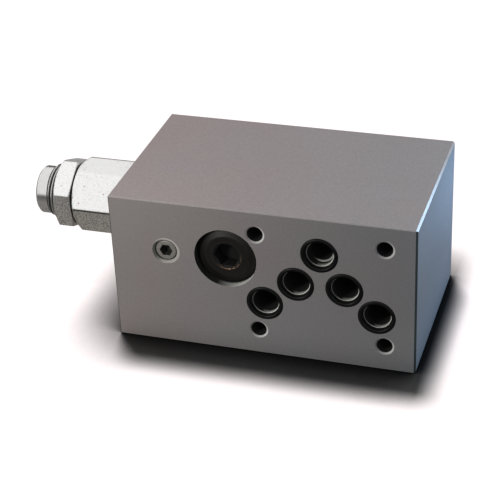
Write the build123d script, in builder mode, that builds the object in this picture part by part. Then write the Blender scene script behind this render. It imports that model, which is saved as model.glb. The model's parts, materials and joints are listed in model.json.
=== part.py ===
"""Hydraulic sandwich valve: a drilled steel block with an adjustable relief cartridge.

The block is stacked between a valve and its subplate. The frame has its origin at the centre of
the bolt pattern on the sealed port face. X runs along the block, with the cartridge at -X, Y runs
from the sealed port face to the plain valve face, and Z is up. Lengths are in millimetres.
"""

from build123d import *
from math import hypot, pi, radians, sqrt, tan
import os

# Block, measured from the centre of the bolt pattern
left_reach = 90.3
right_reach = 40.2
top_reach = 33.3
bottom_reach = 34.8
block_depth = 80.0
edge_break = 0.4
end_chamfer = 0.8

# Bolt pattern and ports of the standard interface, with drops below the upper bolt holes
bolt_span_x = 54.0
bolt_span_z = 46.0
bolt_hole_d = 6.75
bolt_mouth_step = 0.8
bolt_mouth_angle = 120.0
p_port_drop = 6.3
ab_port_drop = 21.4
t_port_drop = 32.5
ab_port_pitch = 20.6
t_port_pitch = 47.6
port_bore_d = 11.2
port_edge_chamfer = 0.25
countersink_angle = 90.0
cut_margin = 1.0
match_tolerance = 0.001
p_entry_depth = 4.8
p_bore_step = 0.85

# Port seals, one O-ring in each recess
seal_recess_width = 2.325
seal_recess_depth = 1.4
seal_cord_d = 1.78
seal_seat_clearance = 0.05

# Gallery plug, a collared screw plug with a hexagon socket
plug_x = -40.15
plug_collar_d = 26.4
plug_recess_clearance = 0.3
plug_setback = 2.0
plug_collar_length = 4.4
plug_bevel_width = 4.0
plug_bevel_depth = 1.5
plug_thread_d = 20.95
plug_thread_length = 12.0
plug_thread_clearance = 0.05
plug_end_chamfer = 0.8
plug_tap_overrun = 4.0
plug_seal_thickness = 1.5
plug_socket_af = 10.0
plug_socket_depth = 7.0
plug_socket_chamfer = 0.4
plug_socket_pilot_d = 5.0
gallery_d = 12.0

# Gauge plug, a headless screw plug with a hexagon socket
gauge_x = -66.4
gauge_thread_d = 9.73
gauge_thread_clearance = 0.06
gauge_mouth_chamfer = 0.85
gauge_setback = 0.9
gauge_plug_length = 8.0
gauge_rim_chamfer = 0.7
gauge_tap_overrun = 2.5
gauge_socket_af = 5.0
gauge_socket_turn = 30.0
gauge_socket_depth = 4.5
gauge_drill_d = 5.0

# Cartridge cavity, from the mouth at the left face of the block to the nose
cartridge_z = 9.85
cavity_thread_d = 25.4
cavity_thread_length = 14.6
mouth_pocket_step = 1.2
annulus_step = 1.2
annulus_length = 13.3
tank_bore_d = 21.2
tank_bore_length = 26.0
nose_bore_d = 16.0
nose_length = 8.0
step_lead = 0.8

# Angled drillings from the cavity to the pressure port and from the gallery to the tank port
pressure_drill_d = 7.0
pressure_drill_overlap = 1.8
tank_drill_d = 6.0
tank_drill_pivot = 10.0
tank_drill_angle = 38.0

# Cartridge body
hex_wall = 2.3
hex_length = 29.3
hex_turn = 56.9
hex_face_inset = 0.5
chamfer_angle = 30.0
thread_clearance = 0.08
seat_clearance = 0.05
mouth_groove_step = 1.3
mouth_seal_gap = 0.1
body_thread_relief = 1.2
waist_gap = 1.0
waist_wall = 1.5
vent_d = 2.0
vent_depth = 19.0

# Cartridge sleeve and poppet seat
sleeve_spigot_length = 6.0
sleeve_spring_bore_d = 14.0
sleeve_spring_bore_depth = 4.6
sleeve_land_clearance = 0.1
sleeve_land_length = 13.4
sleeve_waist_d = 17.0
guide_bore_d = 12.0
radial_port_d = 5.0
radial_port_count = 6
seat_outer_d = 10.0
seat_bore_d = 5.6
seat_length = 10.8

# Relief poppet
poppet_cone_angle = 30.0
poppet_tip_d = 1.6
poppet_waist_d = 7.0
poppet_waist_length = 6.0
poppet_flange_thickness = 2.0
poppet_flange_gap = 0.2
spring_guide_length = 4.0

# Seal rings of the sleeve, each with a backup ring on either side
seal_ring_width = 2.2
backup_ring_width = 1.3
ring_gap = 0.1
sleeve_ring_wall = 1.7
nose_ring_wall = 1.3

# Spring of square wire with ground ends
spring_wire = 2.4
spring_pitch = 4.45
spring_side_gap = 0.3

# Adjusting spindle, its spring seat and the locknut
spindle_thread_d = 24.0
spindle_thread_inside = 18.4
spindle_bore_spare = 5.2
locknut_gap = 2.3
locknut_seal_wall = 1.2
locknut_thickness = 6.5
locknut_turn = 37.8
thread_beyond_nut = 4.6
band_step = 1.35
band_length = 5.5
band_chamfer = 1.0
spindle_socket_af = 8.0
spindle_socket_depth = 8.0
spindle_socket_chamfer = 0.4
pilot_length = 13.2
spindle_seal_cord_d = 1.5
spindle_groove_width = 2.4
spindle_groove_land = 0.8
running_clearance = 0.05
spring_seat_thickness = 3.0
spring_seat_gap = 0.4

# Places and sizes worked out from the dimensions above
top_bolt_z = bolt_span_z / 2
p_port_z = top_bolt_z - p_port_drop
ab_port_z = top_bolt_z - ab_port_drop
t_port_z = top_bolt_z - t_port_drop
port_places = {
    "p": (0, p_port_z),
    "a": (-ab_port_pitch / 2, ab_port_z),
    "b": (ab_port_pitch / 2, ab_port_z),
    "t": (-t_port_pitch / 2, t_port_z),
    "tb": (t_port_pitch / 2, t_port_z),
}
seal_recess_d = port_bore_d + 2 * seal_recess_width
plug_recess_d = plug_collar_d + 2 * plug_recess_clearance
plug_recess_depth = plug_setback + plug_collar_length + plug_seal_thickness
plug_tap_depth = plug_recess_depth + plug_thread_length + plug_tap_overrun
gauge_hole_d = gauge_thread_d + 2 * gauge_thread_clearance
gauge_tap_depth = gauge_setback + gauge_plug_length + gauge_tap_overrun

cartridge_y = block_depth / 2
cartridge_axis = Axis((0, cartridge_y, cartridge_z), (1, 0, 0))
meridian = Plane(origin=(0, cartridge_y, cartridge_z), x_dir=(1, 0, 0), z_dir=(0, -1, 0))

mouth_x = -left_reach
mouth_pocket_d = cavity_thread_d + 2 * mouth_pocket_step
mouth_groove_d = cavity_thread_d - 2 * mouth_groove_step
mouth_seal_cord_d = (mouth_pocket_d - mouth_groove_d) / 2 - 2 * mouth_seal_gap
pocket_end_x = mouth_x + mouth_seal_cord_d + mouth_seal_gap
thread_hole_end_x = pocket_end_x + cavity_thread_length
annulus_bore_d = cavity_thread_d - 2 * annulus_step
annulus_end_x = thread_hole_end_x + annulus_length
tank_end_x = annulus_end_x + tank_bore_length
nose_end_x = tank_end_x + nose_length

hex_af = spindle_thread_d + 2 * hex_wall
hex_end_x = mouth_x - hex_length
body_thread_end_x = thread_hole_end_x - body_thread_relief
body_waist_d = annulus_bore_d - 2 * waist_gap
body_end_x = annulus_end_x - step_lead
spring_chamber_d = body_waist_d - 2 * waist_wall
spindle_inner_x = hex_end_x + spindle_thread_inside
spindle_bore_end_x = spindle_inner_x + spindle_bore_spare

sleeve_start_x = body_end_x - sleeve_spigot_length
spring_bore_end_x = body_end_x + sleeve_spring_bore_depth
land_end_x = body_end_x + sleeve_land_length
sleeve_land_d = tank_bore_d - 2 * sleeve_land_clearance
sleeve_nose_d = nose_bore_d - 2 * seat_clearance
sleeve_end_x = nose_end_x - 4 * ring_gap
seat_start_x = sleeve_end_x - seat_length
radial_port_x = (land_end_x + tank_end_x) / 2

nut_inner_x = hex_end_x - locknut_gap
nut_outer_x = nut_inner_x - locknut_thickness
spindle_thread_end_x = nut_outer_x - thread_beyond_nut
spindle_end_x = spindle_thread_end_x - band_length
band_d = spindle_thread_d - 2 * band_step
pilot_d = spring_chamber_d - 2 * running_clearance
pilot_end_x = spindle_inner_x + pilot_length
spring_outer_d = sleeve_spring_bore_d - 2 * spring_side_gap
spring_mean_d = spring_outer_d - spring_wire
spring_guide_d = spring_mean_d - spring_wire - 2 * spring_side_gap
spring_seat_x = pilot_end_x + seat_clearance + spring_seat_thickness
flange_end_x = spring_bore_end_x - poppet_flange_gap
flange_x = flange_end_x - poppet_flange_thickness


def face_plane(depth):
    """A plane parallel to the port face at a depth below it, drawn in X and Z as seen from outside."""
    return Plane.XZ.offset(-depth)


def across_axis(x):
    """A plane square to the cartridge at x, with its first axis along Y and its second along Z."""
    return Plane(origin=(x, cartridge_y, cartridge_z), x_dir=(0, 1, 0), z_dir=(1, 0, 0))


def half_section(*points):
    """A closed half section of (x, radius) points on the meridian plane of the cartridge."""
    with BuildSketch(meridian) as section:
        with BuildLine():
            Polyline(*points, close=True)
        make_face()
    return section.sketch


def ring_section(x_start, x_end, inner_d, outer_d):
    """The half section of a plain ring between two diameters."""
    return half_section(
        (x_start, inner_d / 2),
        (x_end, inner_d / 2),
        (x_end, outer_d / 2),
        (x_start, outer_d / 2),
    )


def squeezed_section(x, mean_radius, cord_d):
    """The half section of an O-ring centred at x, squeezed square in its groove with its area kept."""
    width = pi * cord_d / 4
    return ring_section(
        x - width / 2, x + width / 2, 2 * mean_radius - cord_d, 2 * mean_radius + cord_d
    )


def chamfered_ends(x_outer, x_inner, inner_end_chamfered):
    """The turned envelope that rounds the corners of a hexagon at one end or at both."""
    face_r = hex_af / 2 - hex_face_inset
    corner_r = hex_af / sqrt(3) + cut_margin
    run = (corner_r - face_r) * tan(radians(chamfer_angle))
    outer_end = [(x_outer, 0), (x_outer, face_r), (x_outer + run, corner_r)]
    if inner_end_chamfered:
        return half_section(
            *outer_end, (x_inner - run, corner_r), (x_inner, face_r), (x_inner, 0)
        )
    return half_section(*outer_end, (x_inner, corner_r), (x_inner, 0))


def circles_at(edges, radius, y):
    """The circular edges of a radius whose centres lie at a depth below the port face."""
    return [
        edge
        for edge in edges.filter_by(GeomType.CIRCLE)
        if hypot(edge.radius - radius, edge.center().Y - y) < match_tolerance
    ]


with BuildPart() as valve_block:
    with BuildSketch(face_plane(0)):
        with Locations(((right_reach - left_reach) / 2, (top_reach - bottom_reach) / 2)):
            Rectangle(left_reach + right_reach, top_reach + bottom_reach)
    extrude(amount=-block_depth)
    chamfer(valve_block.faces().sort_by(Axis.X)[-1].edges(), length=end_chamfer)
    left_edges = valve_block.faces().sort_by(Axis.X)[0].edges()
    chamfer(left_edges + valve_block.edges().filter_by(Axis.X), length=edge_break)

    # Bolt holes, countersunk at both faces
    valve_face = Plane(origin=(0, block_depth, 0), x_dir=(1, 0, 0), z_dir=(0, 1, 0))
    for face in (Plane.XZ, valve_face):
        with Locations(face):
            with GridLocations(bolt_span_x, bolt_span_z, 2, 2):
                CounterSinkHole(
                    bolt_hole_d / 2,
                    bolt_hole_d / 2 + bolt_mouth_step,
                    counter_sink_angle=bolt_mouth_angle,
                )

    # Ports, each with its seal recess, and the narrower bore of the pressure port
    with Locations(Plane.XZ):
        with Locations(*[place for name, place in port_places.items() if name != "p"]):
            CounterBoreHole(port_bore_d / 2, seal_recess_d / 2, seal_recess_depth)
        with Locations(port_places["p"]):
            CounterBoreHole(port_bore_d / 2, seal_recess_d / 2, seal_recess_depth, p_entry_depth)
            Hole(port_bore_d / 2 - p_bore_step)
    chamfer(
        circles_at(valve_block.edges(), port_bore_d / 2, seal_recess_depth)
        + circles_at(valve_block.edges(), port_bore_d / 2, block_depth)
        + circles_at(valve_block.edges(), port_bore_d / 2 - p_bore_step, block_depth),
        length=port_edge_chamfer,
    )

    # Recess, tapped hole and gallery of the gallery plug
    with Locations(Plane.XZ):
        with Locations((plug_x, cartridge_z)):
            CounterBoreHole(
                plug_thread_d / 2 + plug_thread_clearance,
                plug_recess_d / 2,
                plug_recess_depth,
                plug_tap_depth,
            )
            Hole(gallery_d / 2, cartridge_y)

    # Tapped hole, countersunk mouth and drilling of the gauge plug
    with Locations(Plane.XZ):
        with Locations((gauge_x, cartridge_z)):
            CounterSinkHole(
                gauge_hole_d / 2,
                gauge_hole_d / 2 + gauge_mouth_chamfer,
                gauge_tap_depth,
                counter_sink_angle=countersink_angle,
            )
            Hole(gauge_drill_d / 2, cartridge_y)

    # Stepped cavity of the cartridge
    revolve(
        half_section(
            (mouth_x - cut_margin, 0),
            (mouth_x - cut_margin, mouth_pocket_d / 2),
            (pocket_end_x, mouth_pocket_d / 2),
            (pocket_end_x, cavity_thread_d / 2 + thread_clearance),
            (thread_hole_end_x, cavity_thread_d / 2 + thread_clearance),
            (thread_hole_end_x + step_lead, annulus_bore_d / 2),
            (annulus_end_x, annulus_bore_d / 2),
            (annulus_end_x + step_lead, tank_bore_d / 2),
            (tank_end_x, tank_bore_d / 2),
            (tank_end_x + step_lead, nose_bore_d / 2),
            (nose_end_x, nose_bore_d / 2),
            (nose_end_x, 0),
        ),
        axis=cartridge_axis,
        mode=Mode.SUBTRACT,
    )

    # Angled drilling from the end of the cavity up to the pressure port
    drill_start = Vector(nose_end_x - pressure_drill_overlap, cartridge_y, cartridge_z)
    drill_path = Vector(0, cartridge_y, p_port_z) - drill_start
    with BuildSketch(Plane(origin=drill_start, z_dir=drill_path)):
        Circle(pressure_drill_d / 2)
    extrude(amount=drill_path.length, mode=Mode.SUBTRACT)

    # Angled drilling through the tapped hole of the gallery plug down to the tank port
    sideways_x = -t_port_pitch / 2 - plug_x
    sideways_z = t_port_z - cartridge_z
    drill_depth = hypot(sideways_x, sideways_z) / tan(radians(tank_drill_angle))
    drill_path = Vector(sideways_x, drill_depth, sideways_z)
    with BuildSketch(Plane(origin=(plug_x, tank_drill_pivot, cartridge_z), z_dir=drill_path)):
        Circle(tank_drill_d / 2)
    extrude(amount=drill_path.length, mode=Mode.SUBTRACT)

# One O-ring in each port recess
port_seals = {}
seal_mean_r = seal_recess_d / 2 - seal_seat_clearance - seal_cord_d / 2
seal_y = seal_recess_depth - seal_seat_clearance - seal_cord_d / 2
for name, (x, z) in port_places.items():
    with BuildPart(Plane(origin=(x, seal_y, z), z_dir=(0, -1, 0))) as port_seal:
        Torus(seal_mean_r, seal_cord_d / 2)
    port_seals[name + "_port_seal"] = port_seal.part

with BuildPart() as gallery_plug:
    with BuildSketch(face_plane(plug_setback)):
        with Locations((plug_x, cartridge_z)):
            Circle(plug_collar_d / 2)
    extrude(amount=-plug_collar_length)
    chamfer(
        gallery_plug.edges().sort_by(Axis.Y)[0],
        length=plug_bevel_width,
        length2=plug_bevel_depth,
        reference=gallery_plug.faces().sort_by(Axis.Y)[0],
    )
    with BuildSketch(face_plane(plug_setback + plug_collar_length)):
        with Locations((plug_x, cartridge_z)):
            Circle(plug_thread_d / 2)
    extrude(amount=-plug_thread_length)
    chamfer(gallery_plug.edges().sort_by(Axis.Y)[-1], length=plug_end_chamfer)
    with BuildSketch(face_plane(plug_setback)):
        with Locations((plug_x, cartridge_z)):
            RegularPolygon(plug_socket_af / 2, 6, major_radius=False)
    extrude(amount=-plug_socket_depth, mode=Mode.SUBTRACT)
    with Locations(Plane(origin=(plug_x, plug_setback, cartridge_z), z_dir=(0, -1, 0))):
        CounterSinkHole(
            plug_socket_pilot_d / 2,
            plug_socket_af / sqrt(3) + plug_socket_chamfer,
            plug_socket_depth,
            counter_sink_angle=countersink_angle,
        )

with BuildPart() as gallery_plug_seal:
    with BuildSketch(face_plane(plug_setback + plug_collar_length)):
        with Locations((plug_x, cartridge_z)):
            Circle(plug_collar_d / 2)
            Circle(plug_thread_d / 2 + plug_thread_clearance, mode=Mode.SUBTRACT)
    extrude(amount=-plug_seal_thickness)

with BuildPart() as gauge_plug:
    with BuildSketch(face_plane(gauge_setback)):
        with Locations((gauge_x, cartridge_z)):
            Circle(gauge_thread_d / 2)
    extrude(amount=-gauge_plug_length)
    chamfer(gauge_plug.edges().filter_by(GeomType.CIRCLE), length=gauge_rim_chamfer)
    with BuildSketch(face_plane(gauge_setback)):
        with Locations((gauge_x, cartridge_z)):
            RegularPolygon(
                gauge_socket_af / 2, 6, major_radius=False, rotation=gauge_socket_turn
            )
    extrude(amount=-gauge_socket_depth, mode=Mode.SUBTRACT)

with BuildPart() as cartridge_body:
    with BuildSketch(across_axis(hex_end_x)):
        RegularPolygon(hex_af / 2, 6, major_radius=False, rotation=hex_turn)
    extrude(amount=hex_length)
    revolve(
        chamfered_ends(hex_end_x, mouth_x, False), axis=cartridge_axis, mode=Mode.INTERSECT
    )

    # Seal groove, thread and waist inside the block
    revolve(
        half_section(
            (mouth_x, 0),
            (mouth_x, mouth_groove_d / 2),
            (pocket_end_x, mouth_groove_d / 2),
            (pocket_end_x + mouth_groove_step, cavity_thread_d / 2),
            (body_thread_end_x - annulus_step, cavity_thread_d / 2),
            (body_thread_end_x, body_waist_d / 2),
            (body_end_x, body_waist_d / 2),
            (body_end_x, 0),
        ),
        axis=cartridge_axis,
    )

    # Threaded bore of the spindle, then the spring chamber
    revolve(
        half_section(
            (hex_end_x, 0),
            (hex_end_x, spindle_thread_d / 2 + running_clearance),
            (spindle_bore_end_x, spindle_thread_d / 2 + running_clearance),
            (spindle_bore_end_x + step_lead, spring_chamber_d / 2),
            (body_end_x, spring_chamber_d / 2),
            (body_end_x, 0),
        ),
        axis=cartridge_axis,
        mode=Mode.SUBTRACT,
    )

    # Cross drillings that vent the spring chamber
    for direction in ((0, 1, 0), (0, 0, 1)):
        vent_place = (mouth_x + vent_depth, cartridge_y, cartridge_z)
        with BuildSketch(Plane(origin=vent_place, z_dir=direction)):
            Circle(vent_d / 2)
        extrude(amount=body_waist_d, both=True, mode=Mode.SUBTRACT)

groove_centre_x = (body_end_x + land_end_x) / 2
nose_start_x = tank_end_x + step_lead
nose_groove_x = (nose_start_x + sleeve_end_x) / 2
groove_width = seal_ring_width + 2 * backup_ring_width + 4 * ring_gap

with BuildPart() as cartridge_sleeve:
    revolve(
        half_section(
            (sleeve_start_x, 0),
            (sleeve_start_x, spring_chamber_d / 2 - seat_clearance),
            (body_end_x + seat_clearance, spring_chamber_d / 2 - seat_clearance),
            (body_end_x + seat_clearance, sleeve_land_d / 2),
            (land_end_x, sleeve_land_d / 2),
            (land_end_x, sleeve_waist_d / 2),
            (tank_end_x, sleeve_waist_d / 2),
            (nose_start_x, sleeve_nose_d / 2),
            (sleeve_end_x, sleeve_nose_d / 2),
            (sleeve_end_x, 0),
        ),
        axis=cartridge_axis,
    )

    # Stepped bore for the spring, the poppet and the seat
    revolve(
        half_section(
            (sleeve_start_x, 0),
            (sleeve_start_x, sleeve_spring_bore_d / 2),
            (spring_bore_end_x, sleeve_spring_bore_d / 2),
            (spring_bore_end_x, guide_bore_d / 2),
            (seat_start_x, guide_bore_d / 2),
            (seat_start_x, seat_outer_d / 2 + seat_clearance),
            (sleeve_end_x, seat_outer_d / 2 + seat_clearance),
            (sleeve_end_x, 0),
        ),
        axis=cartridge_axis,
        mode=Mode.SUBTRACT,
    )

    # Grooves for the seal rings
    for centre_x, outer_d, wall in (
        (groove_centre_x, sleeve_land_d, sleeve_ring_wall),
        (nose_groove_x, sleeve_nose_d, nose_ring_wall),
    ):
        revolve(
            ring_section(
                centre_x - groove_width / 2,
                centre_x + groove_width / 2,
                outer_d - 2 * wall,
                outer_d + cut_margin,
            ),
            axis=cartridge_axis,
            mode=Mode.SUBTRACT,
        )

    # Radial ports to the gallery
    with Locations(across_axis(radial_port_x)):
        with PolarLocations(0, radial_port_count):
            Cylinder(
                radial_port_d / 2,
                sleeve_waist_d,
                rotation=(0, 90, 0),
                align=(Align.CENTER, Align.CENTER, Align.MIN),
                mode=Mode.SUBTRACT,
            )

with BuildPart() as poppet_seat:
    revolve(
        ring_section(seat_start_x + seat_clearance, sleeve_end_x, seat_bore_d, seat_outer_d),
        axis=cartridge_axis,
    )

cone_slope = tan(radians(poppet_cone_angle))
cone_apex_x = seat_start_x + seat_clearance + (seat_bore_d / 2 - seat_clearance) / cone_slope
cone_start_x = cone_apex_x - poppet_waist_d / 2 / cone_slope
guide_end_x = cone_start_x - poppet_waist_length

with BuildPart() as relief_poppet:
    revolve(
        half_section(
            (flange_x - spring_guide_length, 0),
            (flange_x - spring_guide_length, spring_guide_d / 2),
            (flange_x, spring_guide_d / 2),
            (flange_x, spring_outer_d / 2),
            (flange_end_x, spring_outer_d / 2),
            (flange_end_x, guide_bore_d / 2 - running_clearance),
            (guide_end_x, guide_bore_d / 2 - running_clearance),
            (guide_end_x, poppet_waist_d / 2),
            (cone_start_x, poppet_waist_d / 2),
            (cone_apex_x - poppet_tip_d / 2 / cone_slope, poppet_tip_d / 2),
            (cone_apex_x - poppet_tip_d / 2 / cone_slope, 0),
        ),
        axis=cartridge_axis,
    )

# Spring of square wire, wound past both seats and ground flat at them
spring_start_x = spring_seat_x + seat_clearance
spring_end_x = flange_x - seat_clearance
with BuildPart() as relief_spring:
    with BuildLine():
        coil = Helix(
            pitch=spring_pitch,
            height=spring_end_x - spring_start_x,
            radius=spring_mean_d / 2,
            center=(spring_start_x, cartridge_y, cartridge_z),
            direction=(1, 0, 0),
        )
    with BuildSketch(Plane(origin=coil @ 0, z_dir=coil % 0)):
        Rectangle(spring_wire, spring_wire)
    sweep(is_frenet=True)
    revolve(
        ring_section(
            spring_start_x,
            spring_end_x,
            spring_mean_d - 2 * spring_wire,
            spring_mean_d + 2 * spring_wire,
        ),
        axis=cartridge_axis,
        mode=Mode.INTERSECT,
    )

with BuildPart() as spring_seat:
    revolve(
        half_section(
            (pilot_end_x + seat_clearance, 0),
            (pilot_end_x + seat_clearance, spring_chamber_d / 2 - spring_seat_gap),
            (spring_seat_x, spring_chamber_d / 2 - spring_seat_gap),
            (spring_seat_x, spring_guide_d / 2),
            (spring_seat_x + spring_guide_length, spring_guide_d / 2),
            (spring_seat_x + spring_guide_length, 0),
        ),
        axis=cartridge_axis,
    )

spindle_groove_d = pilot_d - 2 * (spindle_seal_cord_d + seat_clearance)
spindle_groove_end_x = pilot_end_x - spindle_groove_land

with BuildPart() as adjusting_spindle:
    revolve(
        half_section(
            (spindle_end_x, 0),
            (spindle_end_x, band_d / 2 - band_chamfer),
            (spindle_end_x + band_chamfer, band_d / 2),
            (spindle_thread_end_x, band_d / 2),
            (spindle_thread_end_x + band_step, spindle_thread_d / 2),
            (spindle_inner_x - band_step, spindle_thread_d / 2),
            (spindle_inner_x, band_d / 2),
            (spindle_inner_x, pilot_d / 2),
            (spindle_groove_end_x - spindle_groove_width, pilot_d / 2),
            (spindle_groove_end_x - spindle_groove_width, spindle_groove_d / 2),
            (spindle_groove_end_x, spindle_groove_d / 2),
            (spindle_groove_end_x, pilot_d / 2),
            (pilot_end_x, pilot_d / 2),
            (pilot_end_x, 0),
        ),
        axis=cartridge_axis,
    )
    with BuildSketch(across_axis(spindle_end_x)):
        RegularPolygon(spindle_socket_af / 2, 6, major_radius=False)
    extrude(amount=spindle_socket_depth, mode=Mode.SUBTRACT)
    socket_mouth_r = spindle_socket_af / sqrt(3) + spindle_socket_chamfer
    revolve(
        half_section(
            (spindle_end_x, 0), (spindle_end_x, socket_mouth_r), (spindle_end_x + socket_mouth_r, 0)
        ),
        axis=cartridge_axis,
        mode=Mode.SUBTRACT,
    )

with BuildPart() as locknut:
    with BuildSketch(across_axis(nut_outer_x)):
        RegularPolygon(hex_af / 2, 6, major_radius=False, rotation=locknut_turn)
        Circle(spindle_thread_d / 2 + running_clearance, mode=Mode.SUBTRACT)
    extrude(amount=locknut_thickness)
    revolve(
        chamfered_ends(nut_outer_x, nut_inner_x, True), axis=cartridge_axis, mode=Mode.INTERSECT
    )

locknut_bore_d = spindle_thread_d + 2 * running_clearance
with BuildPart() as locknut_seal:
    revolve(
        ring_section(
            nut_inner_x + seat_clearance,
            hex_end_x - seat_clearance,
            locknut_bore_d,
            locknut_bore_d + 2 * locknut_seal_wall,
        ),
        axis=cartridge_axis,
    )

with BuildPart() as mouth_seal:
    revolve(
        squeezed_section(
            mouth_x + mouth_seal_gap / 2 + mouth_seal_cord_d / 2,
            (mouth_pocket_d + mouth_groove_d) / 4,
            mouth_seal_cord_d,
        ),
        axis=cartridge_axis,
    )

with BuildPart() as spindle_seal:
    revolve(
        squeezed_section(
            spindle_groove_end_x - spindle_groove_width / 2,
            (pilot_d - spindle_seal_cord_d) / 2,
            spindle_seal_cord_d,
        ),
        axis=cartridge_axis,
    )

# Seal ring and backup rings of each groove in the sleeve
groove_rings = {}
for prefix, centre_x, outer_d, wall in (
    ("sleeve", groove_centre_x, sleeve_land_d, sleeve_ring_wall),
    ("nose", nose_groove_x, sleeve_nose_d, nose_ring_wall),
):
    inner_d = outer_d - 2 * (wall - seat_clearance)
    with BuildPart() as seal_ring:
        revolve(
            ring_section(
                centre_x - seal_ring_width / 2, centre_x + seal_ring_width / 2, inner_d, outer_d
            ),
            axis=cartridge_axis,
        )
    with BuildPart() as backup_rings:
        for side in (-1, 1):
            ring_x = centre_x + side * (seal_ring_width / 2 + ring_gap + backup_ring_width / 2)
            revolve(
                ring_section(
                    ring_x - backup_ring_width / 2, ring_x + backup_ring_width / 2, inner_d, outer_d
                ),
                axis=cartridge_axis,
            )
    groove_rings[prefix + "_seal"] = seal_ring.part
    groove_rings[prefix + "_backup_rings"] = backup_rings.part

pieces = {
    "valve_block": valve_block.part,
    "gallery_plug": gallery_plug.part,
    "gallery_plug_seal": gallery_plug_seal.part,
    "gauge_plug": gauge_plug.part,
    "cartridge_body": cartridge_body.part,
    "cartridge_sleeve": cartridge_sleeve.part,
    "poppet_seat": poppet_seat.part,
    "relief_poppet": relief_poppet.part,
    "relief_spring": relief_spring.part,
    "spring_seat": spring_seat.part,
    "adjusting_spindle": adjusting_spindle.part,
    "spindle_seal": spindle_seal.part,
    "locknut": locknut.part,
    "locknut_seal": locknut_seal.part,
    "mouth_seal": mouth_seal.part,
    **port_seals,
    **groove_rings,
}
os.makedirs("parts", exist_ok=True)
for label, piece in pieces.items():
    piece.label = label
    export_step(piece, f"parts/{label}.step")
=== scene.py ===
"""Looks of the hydraulic sandwich valve, built round its packed solids.

The solids stay where they are. The script gives each of them a finish, and it builds the threaded
spindle, the locknut, the turned gauge plug and the two halves of the spring, which stand for plain
ones. It sets up a plain studio with the camera of the photograph.
Sizes are in millimetres and angles in degrees, and meshes and materials are made in metres.
"""

import json
import logging
from dataclasses import dataclass, replace
from enum import Enum
from functools import cached_property, reduce
from math import atan2, cos, hypot, pi, radians, sin, sqrt, tan, tau
from operator import or_
from typing import Any, Callable, Mapping, Optional, Sequence, Union

import bmesh
import bpy
from mathutils import Matrix, Vector

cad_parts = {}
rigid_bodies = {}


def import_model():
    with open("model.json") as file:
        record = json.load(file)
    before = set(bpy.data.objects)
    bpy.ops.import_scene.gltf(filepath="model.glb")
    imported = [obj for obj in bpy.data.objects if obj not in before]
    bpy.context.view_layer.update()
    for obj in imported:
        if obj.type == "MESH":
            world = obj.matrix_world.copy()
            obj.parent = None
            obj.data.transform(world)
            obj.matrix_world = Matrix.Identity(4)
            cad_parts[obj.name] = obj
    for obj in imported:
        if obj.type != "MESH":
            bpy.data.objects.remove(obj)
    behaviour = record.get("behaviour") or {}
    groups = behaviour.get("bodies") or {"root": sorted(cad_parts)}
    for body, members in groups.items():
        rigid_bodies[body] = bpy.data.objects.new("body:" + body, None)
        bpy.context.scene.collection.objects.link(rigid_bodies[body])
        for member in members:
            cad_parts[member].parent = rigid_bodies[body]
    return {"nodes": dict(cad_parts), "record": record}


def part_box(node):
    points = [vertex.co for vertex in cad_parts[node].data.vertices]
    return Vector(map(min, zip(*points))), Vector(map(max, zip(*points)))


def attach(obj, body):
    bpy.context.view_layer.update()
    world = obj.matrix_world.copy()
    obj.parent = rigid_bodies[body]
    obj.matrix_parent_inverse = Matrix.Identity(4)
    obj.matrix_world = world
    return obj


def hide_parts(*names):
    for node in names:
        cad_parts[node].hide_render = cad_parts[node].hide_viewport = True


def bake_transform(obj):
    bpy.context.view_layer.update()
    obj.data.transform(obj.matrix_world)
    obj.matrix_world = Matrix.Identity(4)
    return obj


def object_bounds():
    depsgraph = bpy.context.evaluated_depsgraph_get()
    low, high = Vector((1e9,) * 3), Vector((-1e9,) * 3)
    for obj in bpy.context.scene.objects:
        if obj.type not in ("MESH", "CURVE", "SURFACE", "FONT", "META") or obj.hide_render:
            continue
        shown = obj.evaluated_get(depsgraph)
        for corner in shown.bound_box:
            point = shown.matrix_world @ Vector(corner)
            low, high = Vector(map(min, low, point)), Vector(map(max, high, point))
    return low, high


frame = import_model()
CAD_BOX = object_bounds()

LOG = logging.getLogger("sandwich_valve")
MM = 0.001
WELD = 0.0001
SMOOTH_ANGLE = 32.0
SHARP_ANGLE = 28.0
RING_POINTS = 96
PLAIN_DETAIL = 1.0
FINE_DETAIL = 3.0
FADE_SHARE = 0.5
BEVEL_SAMPLES = 8
WHITE = (1.0, 1.0, 1.0)

Colour = tuple[float, float, float]
Point = tuple[float, float, float]
Span = tuple[float, float]
Specks = tuple[float, float, float]
Ring = Callable[[float], Span]
Material = bpy.types.Material
Piece = bpy.types.Object
Socket = bpy.types.NodeSocket


class Along(Enum):
    """The direction of an axis, with the share of each coordinate that lies across it."""

    X = (0.0, 1.0, 1.0)
    Y = (1.0, 0.0, 1.0)


def math_node(operation: str, meaning: str, swapped: bool = False) -> Callable[..., "Signal"]:
    """Make a method of Signal that adds one Math node.

    Args:
        operation: Blender's name of the operation.
        meaning: What the method gives, for its docstring.
        swapped: Whether the signal is the second operand instead of the first.

    Returns:
        The method.
    """

    def method(signal: "Signal", other: "Operand" = 0.0) -> "Signal":
        """Add the node.

        Args:
            signal: The number that the method is called on.
            other: The other operand.

        Returns:
            The node's result.
        """
        operands = dict(enumerate((other, signal) if swapped else (signal, other)))
        node = signal.nodes.node("ShaderNodeMath", {"operation": operation}, operands)
        return Signal(signal.nodes, node.outputs[0])

    method.__doc__ = meaning
    return method


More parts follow.
